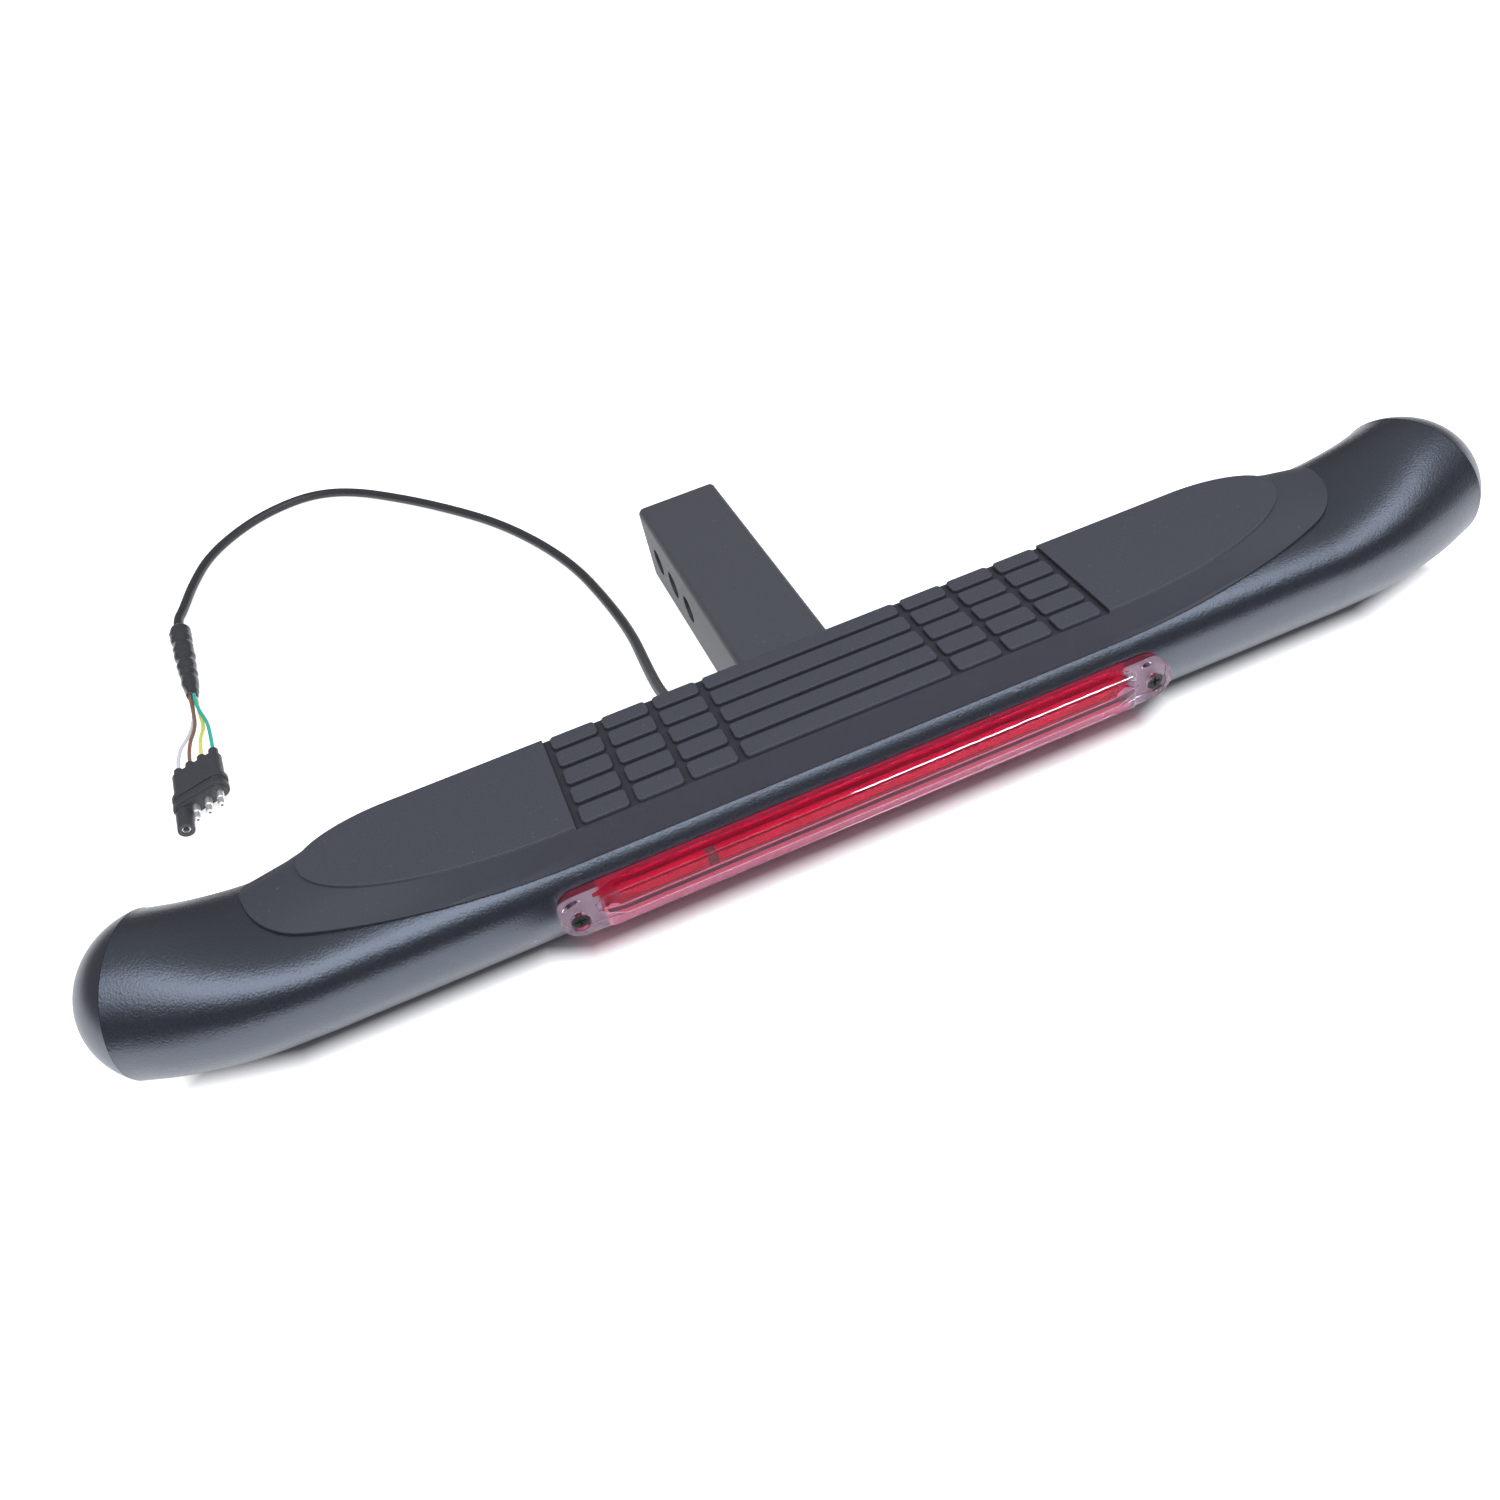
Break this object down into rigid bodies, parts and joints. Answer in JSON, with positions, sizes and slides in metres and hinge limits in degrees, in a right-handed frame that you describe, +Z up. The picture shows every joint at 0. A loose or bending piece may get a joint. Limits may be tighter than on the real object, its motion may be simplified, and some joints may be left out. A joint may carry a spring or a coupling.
{
  "type": "hitch receiver step",
  "caption": "Vehicle rear step for a square hitch receiver: a bent tube with a ribbed tread pad, a pinned shank, a red light strip and a cord that ends in a flat trailer plug.",
  "frame": {"origin": "on the floor, under the middle of the step's box without its cord", "axes": "+X along the step to the right as seen from behind the vehicle, +Y forward into the receiver, +Z up"},
  "size_m": [0.7244, 0.5772, 0.079],
  "materials": {
    "tube_coat": "satin black powder coat",
    "shank_coat": "satin black powder coat",
    "cap_plastic": "satin black moulded plastic",
    "pad_plastic": "matte dark grey, finely grained",
    "clip_plastic": "matte",
    "gasket_foam": "pale closed-cell foam tape, matte",
    "lens_plastic": "clear red, polished",
    "base_plastic": "red, satin",
    "board_laminate": "matte",
    "lamp_resin": "glossy",
    "guide_plastic": "red, polished",
    "screw_steel": "black",
    "cord_jacket": "satin black",
    "grommet_rubber": "matte",
    "splice_tape": "satin black vinyl tape",
    "white_insulation": "satin",
    "brown_insulation": "satin",
    "yellow_insulation": "satin",
    "green_insulation": "satin",
    "plug_rubber": "satin black",
    "contact_metal": "bright plated"
  },
  "bodies": {
    "root": {"step_tube": "tube_coat", "left_end_cap": "cap_plastic", "right_end_cap": "cap_plastic", "receiver_shank": "shank_coat", "shank_weld": "shank_coat", "step_pad": "pad_plastic", "pad_clips": "clip_plastic", "light_gasket": "gasket_foam", "light_lens": "lens_plastic", "light_base": "base_plastic", "led_board": "board_laminate", "leds": "lamp_resin", "light_guide": "guide_plastic", "light_screws": "screw_steel", "light_lead": "cord_jacket", "cord_grommet": "grommet_rubber", "cord": "cord_jacket", "tape_wrap": "splice_tape", "white_wire": "white_insulation", "brown_wire": "brown_insulation", "yellow_wire": "yellow_insulation", "green_wire": "green_insulation", "plug_body": "plug_rubber", "plug_pins": "contact_metal", "plug_socket": "contact_metal"}
  },
  "joints": []
}
